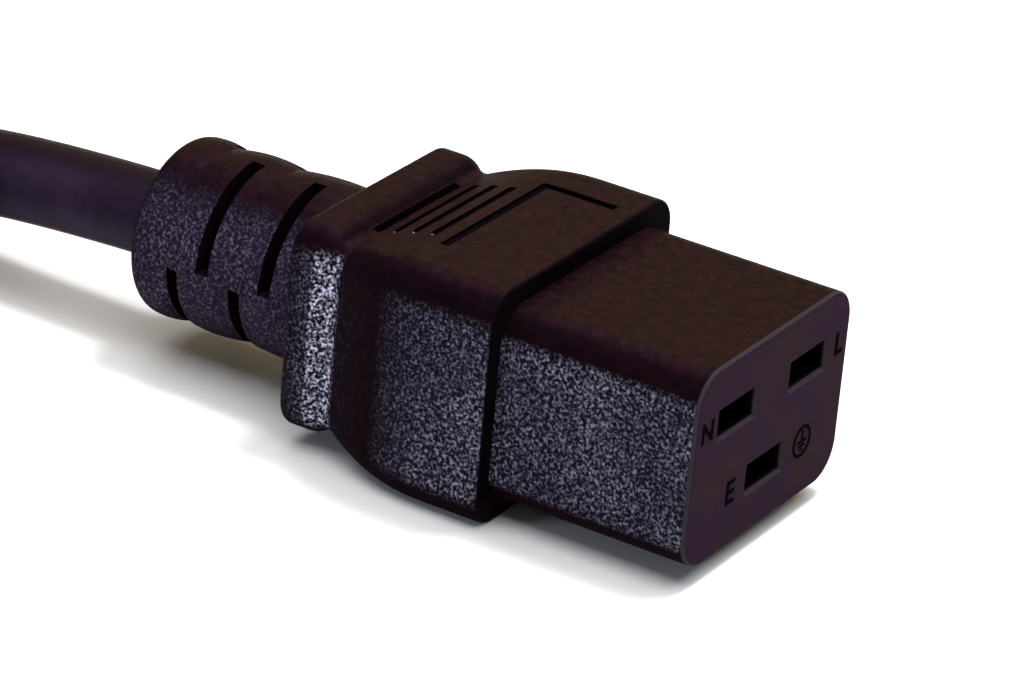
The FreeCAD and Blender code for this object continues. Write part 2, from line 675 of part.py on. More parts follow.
def make_overmould(name, front, seats, wires, placement):
    """front is how far behind the origin the moulding begins; seats are what it was shot round.

    Each seat is a rounded box along X: its name, width, height, corner, begin and end.
    """
    barrel = new_body(name + "_barrel_form")
    barrel.BaseFeature = barrel_blank(name, front)
    doc.recompute()
    rim = -number(front)

    def runs_along_a_corner(at, along, edge):
        return abs(along.x) > 0.7 and abs(at.x - rim) > 0.5 and edge.Length > 2

    rounded = dress(barrel, "Fillet", barrel.Tip, runs_along_a_corner, "body_corner",
                    name + "_corner_rounding")
    dress(barrel, "Fillet", rounded, lambda at, along, edge: abs(at.x - rim) < 1e-5,
          "collar_edge", name + "_rim_rounding")
    flanged = doc.addObject("Part::MultiFuse", name + "_flanged_barrel")
    flanged.Shapes = [barrel, make_flange(name)]
    doc.recompute()
    # The flange's front runs into the barrel in a hollow on all four sides.
    blend = doc.addObject("Part::Fillet", name + "_flange_blend")
    blend.Base = flanged
    front = -size.flange_front

    def meets_the_barrel(at, along, edge):
        return front - 0.9 < at.x < front and abs(along.x) < 0.6

    names = edges_where(flanged.Shape, meets_the_barrel)
    blend.Edges = [(int(name_of[4:]), size.flange_blend, size.flange_blend) for name_of in names]
    doc.recompute()
    body = new_body(name + "_moulding")
    body.BaseFeature = blend
    doc.recompute()
    add_boot(body, name)
    add_grip_lines(body, name)
    for seat, width, height, corner, begin, end in seats:
        outline = sketch_on(body, "YZ_Plane", "%s_%s_outline" % (name, seat),
                            out="- ( %s )" % begin)
        draw_rounded_rectangle(outline, width, height, corner)
        before = body.Tip.Shape.Volume
        extrude(body, "Pocket", outline, "( %s ) - ( %s )" % (end, begin),
                "%s_%s" % (name, seat), reverse=False)
        if body.Tip.Shape.Volume > before - 1:
            raise RuntimeError("a seat took nothing out of " + name)
    hold = doc.addObject("Part::Feature", name + "_wires")
    hold.Shape = Part.makeCompound(wires)
    moulded = doc.addObject("Part::Cut", name)
    moulded.Base = body
    moulded.Tool = hold
    doc.recompute()
    keep(moulded, name, placement)


NOSE = ("nose_width", "nose_height", "nose_corner")
CARRIER = ("carrier_width", "carrier_height", "carrier_corner")
CAP = ("cap_width", "cap_height", "cap_corner")


def locked(outline):
    """The outline inside the lock groove."""
    width, height, corner = outline
    return (width + " - 2 * lock_groove_depth", height + " - 2 * lock_groove_depth",
            corner + " - 1")


def seats_of(outline, front, shift):
    """The seats of an insert with its lock groove, and of the cap behind it."""
    groove = "lock_groove_place + " + shift
    back = "insert_length + " + shift
    return [
        ("front_seat",) + outline + (front, groove),
        ("lock_seat",) + locked(outline) + (groove, groove + " + lock_groove_width"),
        ("rear_seat",) + outline + (groove + " + lock_groove_width", back),
        ("cap_seat",) + CAP + (back, back + " + cap_thickness"),
    ]


# ---------------------------------------------------------------------------------------------
# Plug: a carrier at the bottom of the shroud and three flat pins
# ---------------------------------------------------------------------------------------------
def make_plug_carrier(placement):
    body = new_body("plug_carrier")
    outline = sketch_on(body, "YZ_Plane", "carrier_outline", out="- shroud_depth + plug_shift")
    draw_rounded_rectangle(outline, *CARRIER)
    extrude(body, "Pad", outline, "insert_length - shroud_depth + plug_shift", "carrier_block")
    ring = sketch_on(body, "YZ_Plane", "carrier_groove_outline", out="- lock_groove_place")
    draw_rounded_rectangle(ring, "carrier_width + 2", "carrier_height + 2", "carrier_corner")
    draw_rounded_rectangle(ring, *locked(CARRIER))
    extrude(body, "Pocket", ring, "lock_groove_width", "carrier_groove", reverse=False)
    for pole, (across, up) in POLE_CELLS.items():
        slot = sketch_on(body, "YZ_Plane", "pin_hole_%s_outline" % pole, across=across, up=up,
                         out="- shroud_depth + plug_shift + 1")
        draw_rectangle(slot, "blade_width", "blade_thickness")
        extrude(body, "Pocket", slot, "blade_wall + 2", "pin_hole_%s" % pole, reverse=False)
        chamber = sketch_on(body, "YZ_Plane", "pin_chamber_%s_outline" % pole, across=across,
                            up=up, out="- shroud_depth + plug_shift - blade_wall")
        draw_rectangle(chamber, "chamber_width", "chamber_height")
        extrude(body, "Pocket", chamber, "insert_length", "pin_chamber_%s" % pole, reverse=False)
    keep(body, "plug_carrier", placement)


def make_pin(pole, placement):
    name = "pin_" + pole
    body = new_body(name)
    blade = sketch_on(body, "YZ_Plane", name + "_blade_outline",
                      out="- blade_tip + plug_shift")
    draw_rectangle(blade, "blade_width", "blade_thickness")
    shank = extrude(body, "Pad", blade, "blade_back + plug_shift - blade_tip", name + "_blade")
    tip = number("- blade_tip + plug_shift")
    dress(body, "Chamfer", shank, lambda at, along, edge: abs(at.x - tip) < 1e-6,
          "blade_chamfer", name + "_tip")
    add_crimps(body, name, [("- blade_back", "- blade_thickness / 2"),
                            ("- blade_back + 1", "- blade_thickness / 2"),
                            ("- blade_back + 1", "blade_thickness / 2"),
                            ("- crimp_front + 0.2", "blade_thickness / 2")])
    across, up, turn = POLES[pole]
    keep(body, name, placement.multiply(Placement(V(0, across, up), Rotation())))


# ---------------------------------------------------------------------------------------------
# Cord: the run down from the boot, the coil with its tie, and the tail to the plug on top of it
# ---------------------------------------------------------------------------------------------
STANDING = -size.body_height / 2
COIL_CENTRE = V(size.coil_across, size.coil_along, 0)
COIL_FLOOR = STANDING + size.tie_thickness
COIL_TOP = COIL_FLOOR + size.coil_height

# The route of the run, from the boot's end to the coil's outermost turn.
RUN = [V(-size.boot_end, 0, 0), V(-size.boot_end - 4, 0, 0), V(-86, 0.2, -1.2), V(-99, 1.4, -3.9),
       V(-112, 4.6, -6.0), V(-124.5, 8.0, -6.8)]

# The route of the tail, beside the coil's centre: over the top turns and into the plug's boot.
TAIL_BESIDE = [V(53.7, -8.8, 10.35), V(53.7, 8.8, 10.4), V(47.0, 24.9, 11.3), V(34.6, 37.3, 14.3),
               V(18.5, 44.0, 17.95), V(2.0, 44.0, 17.95)]


def make_cord():
    outside = doc.addObject("Part::Cylinder", "coil_outside_form")
    outside.setExpression("Radius", cells("coil_outside"))
    inside = doc.addObject("Part::Cylinder", "coil_inside_form")
    inside.setExpression("Radius", cells("coil_inside"))
    for form in (outside, inside):
        form.setExpression("Height", cells("coil_height"))
    ring = doc.addObject("Part::Cut", "coil_ring")
    ring.Base, ring.Tool = outside, inside
    doc.recompute()
    coil = doc.addObject("Part::Fillet", "cord_coil")
    coil.Base = ring
    names = edges_where(ring.Shape, lambda at, along, edge: isinstance(edge.Curve, Part.Circle))
    coil.Edges = [(int(name[4:]), size.jacket_radius - 0.4, size.jacket_radius - 0.4)
                  for name in names]
    doc.recompute()
    keep(coil, "cord_coil", Placement(COIL_CENTRE + V(0, 0, COIL_FLOOR), Rotation()))
    doc.recompute()
    run = tube(RUN, size.jacket_radius, "cord_run")
    shape_feature("cord_run", run.cut(coil.Shape))
    tail = tube([COIL_CENTRE + point for point in TAIL_BESIDE], size.jacket_radius, "cord_tail")
    shape_feature("cord_tail", tail)

    # The tie is a flat strap round the bundle of turns, lying on the surface under it.
    gap, thickness = size.tie_gap, size.tie_thickness
    reach = size.coil_outside - size.coil_inside + 2 * gap
    outer = doc.addObject("Part::Box", "tie_outside_form")
    outer.Length, outer.Width = reach + 2 * thickness, size.tie_width
    outer.Height = size.coil_height + 2 * thickness + gap
    outer.Placement.Base = V(size.coil_inside - gap - thickness, -size.tie_width / 2, 0)
    opening = doc.addObject("Part::Box", "tie_inside_form")
    opening.Length, opening.Width = reach, size.tie_width + 2
    opening.Height = size.coil_height + gap
    opening.Placement.Base = V(size.coil_inside - gap, -size.tie_width / 2 - 1, thickness)
    rounded = []
    for form, radius in ((outer, 4.0), (opening, 3.4)):
        doc.recompute()
        fillet = doc.addObject("Part::Fillet", form.Name + "_rounded")
        fillet.Base = form
        names = edges_where(form.Shape, lambda at, along, edge: abs(along.y) > 0.9)
        fillet.Edges = [(int(name[4:]), radius, radius) for name in names]
        rounded.append(fillet)
    tie = doc.addObject("Part::Cut", "coil_tie")
    tie.Base, tie.Tool = rounded
    doc.recompute()
    turn = Rotation(V(0, 0, 1), size.tie_angle)
    keep(tie, "coil_tie", Placement(COIL_CENTRE + V(0, 0, STANDING), turn))


# ---------------------------------------------------------------------------------------------
# Assembly
# ---------------------------------------------------------------------------------------------
HERE = Placement()
PLUG_AXIS = COIL_CENTRE + TAIL_BESIDE[-1]
PLUG = Placement(PLUG_AXIS - V(size.boot_end, 0, 0), Rotation(V(0, 0, 1), 180))
PLUG_INNER = PLUG.multiply(Placement(V(-size.plug_shift, 0, 0), Rotation()))

make_nose_insert()
make_rear_cap("rear_cap", HERE)
for one_pole in POLES:
    make_contact(one_pole)
own_wires = make_wires("", 0.0, HERE)
make_overmould("overmould", "nose_length", seats_of(NOSE, "nose_length", "0"), own_wires, HERE)

make_plug_carrier(PLUG_INNER)
make_rear_cap("plug_rear_cap", PLUG_INNER)
for one_pole in POLES:
    make_pin(one_pole, PLUG_INNER)
plug_wires = make_wires("plug_", size.plug_shift, PLUG)
shroud = ("shroud", "nose_width + 2 * shroud_gap", "nose_height + 2 * shroud_gap", "nose_corner",
          "0", "shroud_depth")
make_overmould("plug_overmould", "0",
               [shroud] + seats_of(CARRIER, "shroud_depth", "plug_shift"), plug_wires, PLUG)
make_cord()
doc.recompute()

# ---------------------------------------------------------------------------------------------
# Check every object and write one STEP file for each sub-part
# ---------------------------------------------------------------------------------------------
for item in doc.Objects:
    if "Invalid" in item.State or "Error" in item.State:
        raise RuntimeError("%s is %s" % (item.Label, item.State))
os.makedirs("parts", exist_ok=True)
for part in PARTS:
    shape = part.Shape
    if shape.isNull() or not shape.isValid() or len(shape.Solids) != 1:
        raise RuntimeError("%s isn't one valid solid" % part.Label)
    shape.exportStep("parts/%s.step" % part.Label)
    box = shape.BoundBox
    print("%-24s %9.1f mm3  x %7.1f %7.1f  y %7.1f %7.1f  z %7.1f %7.1f" % (
        part.Label, shape.Volume, box.XMin, box.XMax, box.YMin, box.YMax, box.ZMin, box.ZMax))
print(len(PARTS), "sub-parts")
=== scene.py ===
"""An overmoulded C19 cord connector lying on a pale table, with its lead put away in a tied coil.

Everything is in metres in the frame of the solid model: the origin is the centre of the
connector's mating face, +X points out of that face and +Z up.
"""
import bpy
import math
from mathutils import Matrix, Vector


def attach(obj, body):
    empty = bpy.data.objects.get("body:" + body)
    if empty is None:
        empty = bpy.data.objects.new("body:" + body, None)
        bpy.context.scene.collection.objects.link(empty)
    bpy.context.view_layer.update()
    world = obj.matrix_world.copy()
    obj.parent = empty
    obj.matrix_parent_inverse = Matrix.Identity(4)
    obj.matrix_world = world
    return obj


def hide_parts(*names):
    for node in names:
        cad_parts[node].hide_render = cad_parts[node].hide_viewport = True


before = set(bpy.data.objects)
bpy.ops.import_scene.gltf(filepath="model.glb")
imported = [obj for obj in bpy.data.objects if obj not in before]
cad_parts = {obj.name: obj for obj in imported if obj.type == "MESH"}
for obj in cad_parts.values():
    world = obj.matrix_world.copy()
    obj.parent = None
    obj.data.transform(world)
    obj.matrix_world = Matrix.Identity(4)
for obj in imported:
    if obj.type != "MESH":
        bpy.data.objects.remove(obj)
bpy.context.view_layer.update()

# ---- Camera -----------------------------------------------------------------------------------
# A long lens looks down on the connector's side from a little ahead of the mating face, and the
# cord runs out of view.
AZIMUTH, ELEVATION, ROLL = math.radians(29.93), math.radians(25.72), math.radians(5.26)
MM_RIGHT, MM_UP, MM_BACK = -23.4, 7.833, 493.653
backwards = Vector((math.sin(AZIMUTH) * math.cos(ELEVATION),
                    -math.cos(AZIMUTH) * math.cos(ELEVATION),
                    math.sin(ELEVATION)))
rightwards = (-backwards).cross(Vector((0, 0, 1))).normalized()
upwards = rightwards.cross(-backwards)
camera_right = math.cos(ROLL) * rightwards + math.sin(ROLL) * upwards
camera_up = -math.sin(ROLL) * rightwards + math.cos(ROLL) * upwards
camera_place = (MM_RIGHT * camera_right + MM_UP * camera_up + MM_BACK * backwards) / 1000
camera_data = bpy.data.cameras.new("camera")
camera_data.sensor_width = 36.0
camera_data.lens = 190.67
camera_data.clip_start = 0.01
camera = bpy.data.objects.new("camera", camera_data)
bpy.context.collection.objects.link(camera)
camera.matrix_world = Matrix((
    (camera_right.x, camera_up.x, backwards.x, camera_place.x),
    (camera_right.y, camera_up.y, backwards.y, camera_place.y),
    (camera_right.z, camera_up.z, backwards.z, camera_place.z),
    (0, 0, 0, 1)))
bpy.context.scene.camera = camera

# ---- Cord -------------------------------------------------------------------------------------
# A round three-core lead with a smooth black PVC jacket.  It leaves the boot, comes down to the
# table, is wound into a neat coil of two layers and climbs over the coil into the plug's boot.
CORD_RADIUS = 0.00425
BOOT_END = 0.0658
run = [(-BOOT_END, 0, 0), (-0.0698, 0, 0), (-0.086, 0.0002, -0.0012), (-0.099, 0.0014, -0.0039),
       (-0.112, 0.0046, -0.0060), (-0.1245, 0.0080, -0.0068)]
coil_centre = Vector((-0.1325, -0.045, 0))
COIL_OUTER, COIL_INNER = 0.0538, 0.0331
LOWER_LAYER, UPPER_LAYER, LEAVING_HEIGHT = -0.0068, 0.00175, 0.0102
TURNS, STEPS_A_TURN, CLIMB_STEPS = 4.75, 16, 4
START_ANGLE = math.radians(90)
tail = [(0.0537, 0.0088, 0.0104), (0.0470, 0.0249, 0.0113), (0.0346, 0.0373, 0.0143),
        (0.0185, 0.0440, 0.01795), (0.0020, 0.0440, 0.01795)]

route = [Vector(point) for point in run]
steps = int(TURNS * STEPS_A_TURN)
half = steps / 2
for step in range(1, steps):
    # The lower layer winds inwards and the upper one outwards, each turn just over a diameter
    # from the last.
    angle = START_ANGLE + math.tau * step / STEPS_A_TURN
    inwards = 1 - abs(step - half) / half
    radius = COIL_OUTER + (COIL_INNER - COIL_OUTER) * inwards
    climb = min(max((step - half + CLIMB_STEPS / 2) / CLIMB_STEPS, 0), 1)
    leave = max(step - (steps - CLIMB_STEPS), 0) / CLIMB_STEPS
    height = (LOWER_LAYER + (UPPER_LAYER - LOWER_LAYER) * climb
              + (LEAVING_HEIGHT - UPPER_LAYER) * leave)
    route.append(coil_centre
                 + Vector((radius * math.cos(angle), radius * math.sin(angle), height)))
route += [coil_centre + Vector(point) for point in tail]

cord_curve = bpy.data.curves.new("cord", "CURVE")
cord_curve.dimensions = "3D"
cord_curve.bevel_depth = 1.0
cord_curve.bevel_resolution = 6
cord_curve.resolution_u = 6
cord_curve.use_fill_caps = True
line = cord_curve.splines.new("NURBS")
line.points.add(len(route) - 1)
for point, place in zip(line.points, route):
    point.co = (*place, 1)
    point.radius = CORD_RADIUS
line.order_u = 3
line.use_endpoint_u = True
cord = bpy.data.objects.new("cord", cord_curve)
bpy.context.collection.objects.link(cord)
bpy.ops.object.select_all(action="DESELECT")


def centre_line(curve_object):
    """The points along a curve's centre line."""
    bare = curve_object.data.copy()
    bare.bevel_depth = 0
    carrier = bpy.data.objects.new("measure", bare)
    mesh = bpy.data.meshes.new_from_object(carrier)
    points = [vertex.co.copy() for vertex in mesh.vertices]
    bpy.data.objects.remove(carrier)
    return points


cord_line = centre_line(cord)
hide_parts("cord_run", "cord_coil", "cord_tail")
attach(cord, "root")

# ---- Tie --------------------------------------------------------------------------------------
# A strap of black hook-and-loop tape, pulled snug round the bundle of turns and lapped on top.
# The outer face is napped loop pile between two woven selvedges.
TIE_ANGLE = math.radians(250)
TIE_WIDTH, TAPE, LAP, TIE_SLACK = 0.010, 0.0007, 0.011, 0.00042
TIE_FLOOR, BUNDLE_START, ROUND_STEPS = -0.01107, 0.02, 60
LAP_RISE, LAP_GAP = 0.003, 0.00008
TIP_LENGTH, TIP_NARROWING = 0.003, 0.35
BEND_EASE = 0.0008
tie_out = Vector((math.cos(TIE_ANGLE), math.sin(TIE_ANGLE), 0))
tie_along = Vector((-math.sin(TIE_ANGLE), math.cos(TIE_ANGLE), 0))
turns_here = []
for a, b in zip(cord_line, cord_line[1:]):
    before, after = (a - coil_centre).dot(tie_along), (b - coil_centre).dot(tie_along)
    crossing = a.lerp(b, before / (before - after)) if before * after < 0 else None
    if crossing and (crossing - coil_centre).dot(tie_out) > BUNDLE_START:
        turns_here.append(((crossing - coil_centre).dot(tie_out), crossing.z))
around, tie_reach = [], CORD_RADIUS + TIE_SLACK
for reach, height in turns_here:
    for part in range(ROUND_STEPS):
        angle = math.tau * part / ROUND_STEPS
        around.append((reach + tie_reach * math.cos(angle),
                       max(height + tie_reach * math.sin(angle), TIE_FLOOR)))
around = sorted(set(around))
loop = []
for ordered in (around, around[::-1]):
    # Each side of the tape's path is the outline that a taut tape takes over the turns.
    side = []
    for point in ordered:
        while len(side) > 1 and ((side[-1][0] - side[-2][0]) * (point[1] - side[-2][1])
                                 - (side[-1][1] - side[-2][1]) * (point[0] - side[-2][0])) <= 0:
            side.pop()
        side.append(point)
    loop += side[:-1]
middle_reach = (max(point[0] for point in loop) + min(point[0] for point in loop)) / 2
top_point = min((point for point in loop if point[1] > 0),
                key=lambda point: abs(point[0] - middle_reach - LAP / 2))
loop = [Vector(point) for point in loop[loop.index(top_point):] + loop[:loop.index(top_point)]]
loop_length = sum((b - a).length for a, b in zip(loop, loop[1:] + loop[:1]))


def on_loop(distance):
    """The point of the tape's path at a distance along it, and the way out of the bundle there."""
    distance %= loop_length
    for a, b in zip(loop, loop[1:] + loop[:1]):
        if distance <= (b - a).length:
            way = (b - a).normalized()
            return a + way * distance, Vector((way.y, -way.x))
        distance -= (b - a).length
    return loop[0], Vector((0, 1))


bpy.ops.mesh.primitive_grid_add(x_subdivisions=240, y_subdivisions=8, size=1)
tie = bpy.context.active_object
tie.name = "coil_strap"
tape_length = loop_length + LAP
for vertex in tie.data.vertices:
    along_tape, across_tape = (vertex.co.x + 0.5) * tape_length, vertex.co.y * TIE_WIDTH
    point, _ = on_loop(along_tape)
    behind = on_loop(along_tape - BEND_EASE)[1]
    ahead = on_loop(along_tape + BEND_EASE)[1]
    outward = (behind + ahead).normalized()
    lapped = min(max((along_tape - loop_length + LAP_RISE) / LAP_RISE, 0), 1)
    point = point + outward * (TAPE / 2 + lapped * (TAPE + LAP_GAP))
    to_tip = max(along_tape - tape_length + TIP_LENGTH, 0) / TIP_LENGTH
    across_tape *= 1 - TIP_NARROWING * to_tip ** 3
    vertex.co = (coil_centre + tie_out * point.x + tie_along * across_tape
                 + Vector((0, 0, point.y)))
thick = tie.modifiers.new("tape", "SOLIDIFY")
thick.thickness, thick.offset = TAPE, 0
soft_edge = tie.modifiers.new("selvedge", "BEVEL")
soft_edge.width, soft_edge.segments, soft_edge.limit_method = 0.00018, 2, "ANGLE"
for modifier in (thick.name, soft_edge.name):
    bpy.ops.object.modifier_apply(modifier=modifier)
bpy.ops.object.shade_smooth_by_angle(angle=math.radians(40))
bpy.ops.object.mode_set(mode="EDIT")
bpy.ops.mesh.select_all(action="SELECT")
bpy.ops.mesh.normals_make_consistent(inside=False)
bpy.ops.object.mode_set(mode="OBJECT")
bpy.ops.object.select_all(action="DESELECT")
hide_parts("coil_tie")
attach(tie, "root")


def new_material(name):
    """A material with only a Principled BSDF and an output."""
    material = bpy.data.materials.new(name)
    material.use_nodes = True
    return material, material.node_tree.nodes, material.node_tree.links


def noise_over(nodes, links, vector, scale, detail=2.0):
    """Soft noise from 0 to 1 over a place, finer with a larger scale."""
    noise = nodes.new("ShaderNodeTexNoise")
    noise.inputs["Scale"].default_value = scale
    noise.inputs["Detail"].default_value = detail
    links.new(vector, noise.inputs["Vector"])
    return noise.outputs["Fac"]


def combined(nodes, links, operation, *values):
    """Works through the values with one operation, from the first to the last."""
    total = values[0]
    for value in values[1:]:
        step = nodes.new("ShaderNodeMath")
        step.operation = operation
        links.new(total, step.inputs[0])
        links.new(value, step.inputs[1])
        total = step.outputs["Value"]
    return total


def mixed(nodes, links, factor, first, second, kind="RGBA"):
    """Goes from the first colour or value to the second as the factor goes from 0 to 1."""
    mix = nodes.new("ShaderNodeMix")
    mix.data_type = kind
    for socket, given in (("A", first), ("B", second)):
        if isinstance(given, bpy.types.NodeSocket):
            links.new(given, mix.inputs[socket])
        else:
            mix.inputs[socket].default_value = (*given, 1)
    links.new(factor, mix.inputs["Factor"])
    return mix.outputs["Result"]


def bumped(nodes, links, shader, height, distance):
    """Gives a shader a relief of a height, at most so deep."""
    bump = nodes.new("ShaderNodeBump")
    bump.inputs["Distance"].default_value = distance
    links.new(height, bump.inputs["Height"])
    links.new(bump.outputs["Normal"], shader.inputs["Normal"])


loop_pile, nodes, links = new_material("loop_pile")
shader = nodes["Principled BSDF"]
source = nodes.new("ShaderNodeTexCoord")
pile = nodes.new("ShaderNodeTexVoronoi")
pile.inputs["Scale"].default_value = 2600
links.new(source.outputs["Object"], pile.inputs["Vector"])
fuzz = noise_over(nodes, links, source.outputs["Object"], 5200, 3.0)
threads = nodes.new("ShaderNodeSeparateXYZ")
links.new(source.outputs["UV"], threads.inputs["Vector"])
from_middle = nodes.new("ShaderNodeMath")
from_middle.operation = "SUBTRACT"
from_middle.inputs[1].default_value = 0.5
size_from_middle = nodes.new("ShaderNodeMath")
size_from_middle.operation = "ABSOLUTE"
selvedge = nodes.new("ShaderNodeMapRange")
selvedge.inputs["From Min"].default_value = 0.40
selvedge.inputs["From Max"].default_value = 0.43
links.new(threads.outputs["Y"], from_middle.inputs[0])
links.new(from_middle.outputs["Value"], size_from_middle.inputs[0])
links.new(size_from_middle.outputs["Value"], selvedge.inputs["Value"])
ribs = nodes.new("ShaderNodeTexWave")
ribs.inputs["Scale"].default_value = 40
links.new(source.outputs["UV"], ribs.inputs["Vector"])
nap = combined(nodes, links, "ADD", pile.outputs["Distance"], fuzz)
relief = mixed(nodes, links, selvedge.outputs["Result"], nap, ribs.outputs["Fac"], "FLOAT")
bumped(nodes, links, shader, relief, 0.0002)
links.new(mixed(nodes, links, relief, (0.003, 0.002, 0.003), (0.015, 0.012, 0.017)),
          shader.inputs["Base Color"])
shader.inputs["Roughness"].default_value = 0.95
shader.inputs["Sheen Weight"].default_value = 0.06
shader.inputs["Specular IOR Level"].default_value = 0.08
tie.data.materials.append(loop_pile)


# ---- Overmould --------------------------------------------------------------------------------
# The collar, barrel, finger flange and slotted boot are one shot of black PVC.  The tool is spark
# eroded, and glints are painted on the coarse grain's tips on the sides, brightest on the flange
# either side of the parting line; the top and the surfaces that turn away are a finer satin.
def spark_grain_group():
    """Spark-eroded grain: a height for bump, and a mask for the glints painted on the grain's
    tips.
    """
    group = bpy.data.node_groups.new("spark_grain", "ShaderNodeTree")
    group.interface.new_socket("Scale", in_out="INPUT", socket_type="NodeSocketFloat")
    for socket in ("Height", "Painted glints"):
        group.interface.new_socket(socket, in_out="OUTPUT", socket_type="NodeSocketFloat")
    nodes, links = group.nodes, group.links
    entry, leave = nodes.new("NodeGroupInput"), nodes.new("NodeGroupOutput")
    place = nodes.new("ShaderNodeTexCoord")
    grain = nodes.new("ShaderNodeTexNoise")
    grain.inputs["Detail"].default_value = 1.0
    grain.inputs["Roughness"].default_value = 0.5
    stretched = nodes.new("ShaderNodeMapRange")
    stretched.inputs["From Min"].default_value = 0.36
    stretched.inputs["From Max"].default_value = 0.71
    steeper = nodes.new("ShaderNodeMath")
    steeper.operation = "POWER"
    steeper.inputs[1].default_value = 2.2
    askew = nodes.new("ShaderNodeMapping")
    askew.inputs["Rotation"].default_value = (0.6, 0.4, 0.9)
    links.new(place.outputs["Object"], askew.inputs["Vector"])
    links.new(askew.outputs["Vector"], grain.inputs["Vector"])
    links.new(entry.outputs["Scale"], grain.inputs["Scale"])
    links.new(grain.outputs["Fac"], leave.inputs["Height"])
    links.new(grain.outputs["Fac"], stretched.inputs["Value"])
    links.new(stretched.outputs["Result"], steeper.inputs[0])
    links.new(steeper.outputs["Value"], leave.inputs["Painted glints"])
    return group


spark_grain = spark_grain_group()
# The last of these is the colour of the highlights painted on the grain's tips.
GRAIN_SCALE, GRAIN_DEPTH, PAINTED_GLINT = 3250, 0.00005, (0.69, 0.68, 0.88)
# Where the overmould changes, each as the two distances between which the change is eased.
COLLAR_STEP, BOOT_FRONT = (-0.0213, -0.0209), (-0.0480, -0.0440)
SLOTS_REAR, SLOTS_FRONT, SLOT_DEPTH = (-0.0632, -0.0627), (-0.0484, -0.0479), (0.0074, 0.0083)
TOP = (0.0090, 0.0095)


def between(nodes, links, value, low, high, at_low=0.0, at_high=1.0):
    """Eases a value from at_low to at_high as it passes from low to high."""
    eased = nodes.new("ShaderNodeMapRange")
    eased.interpolation_type = "SMOOTHSTEP"
    for socket, number in (("From Min", low), ("From Max", high), ("To Min", at_low),
                           ("To Max", at_high)):
        eased.inputs[socket].default_value = number
    links.new(value, eased.inputs["Value"])
    return eased.outputs["Result"]


def sizes_of(nodes, links, vector):
    """The X, Y and Z of a vector, and the size of each without its sign."""
    split = nodes.new("ShaderNodeSeparateXYZ")
    links.new(vector, split.inputs["Vector"])
    sizes = []
    for axis in "XYZ":
        size_of = nodes.new("ShaderNodeMath")
        size_of.operation = "ABSOLUTE"
        links.new(split.outputs[axis], size_of.inputs[0])
        sizes.append(size_of.outputs["Value"])
    return [split.outputs[axis] for axis in "XYZ"], sizes


def inside_boxes(nodes, links, place, boxes):
    """One inside any of the boxes, each given by its middle and half sizes in X and Y, in mm."""
    masks = []
    for middle_x, half_x, middle_y, half_y in boxes:
        pair = []
        for value, middle_of, half_of in ((place[0], middle_x, half_x),
                                          (place[1], middle_y, half_y)):
            near = nodes.new("ShaderNodeMath")
            near.operation = "COMPARE"
            near.inputs[1].default_value = middle_of / 1000
            near.inputs[2].default_value = half_of / 1000
            links.new(value, near.inputs[0])
            pair.append(near.outputs["Value"])
        masks.append(combined(nodes, links, "MULTIPLY", *pair))
    return combined(nodes, links, "MAXIMUM", *masks)


